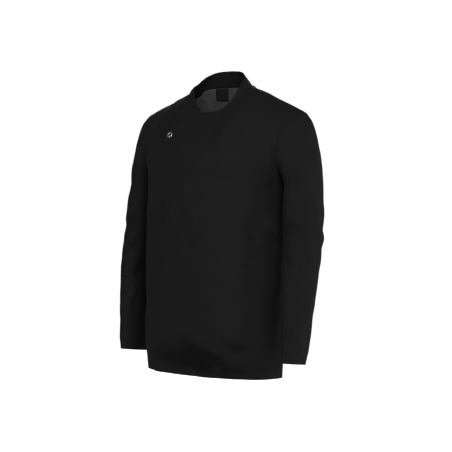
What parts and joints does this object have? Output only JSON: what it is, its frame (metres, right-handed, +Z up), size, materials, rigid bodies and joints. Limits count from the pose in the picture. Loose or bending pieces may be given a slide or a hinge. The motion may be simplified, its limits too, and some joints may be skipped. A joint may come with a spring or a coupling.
{
  "type": "chef jacket",
  "caption": "Worn hollow long-sleeved black chef jacket with a stand collar and a wrapped front held by one ring snap",
  "frame": {"origin": "centre of the neck opening, level with the shoulders beside the neck, where the wearer holds it", "axes": "+Z up the wearer, -Y the way the wearer faces, +X the wearer's left"},
  "size_m": [0.5508, 0.282, 0.7805],
  "materials": {
    "black_twill": "matt black polyester-cotton twill with a soft sheen at grazing angles",
    "mesh_lining": "dark grey open knit",
    "label_tape": "black woven tape, bare",
    "snap_metal": "bright nickel-plated ring"
  },
  "bodies": {
    "root": {"back_panel": "black_twill", "front_right_panel": "black_twill", "front_left_panel": "black_twill", "sleeve_right": "black_twill", "sleeve_left": "black_twill", "stand_collar": "black_twill", "back_lining": "mesh_lining", "neck_label": "label_tape", "snap_ring": "snap_metal"}
  },
  "joints": []
}
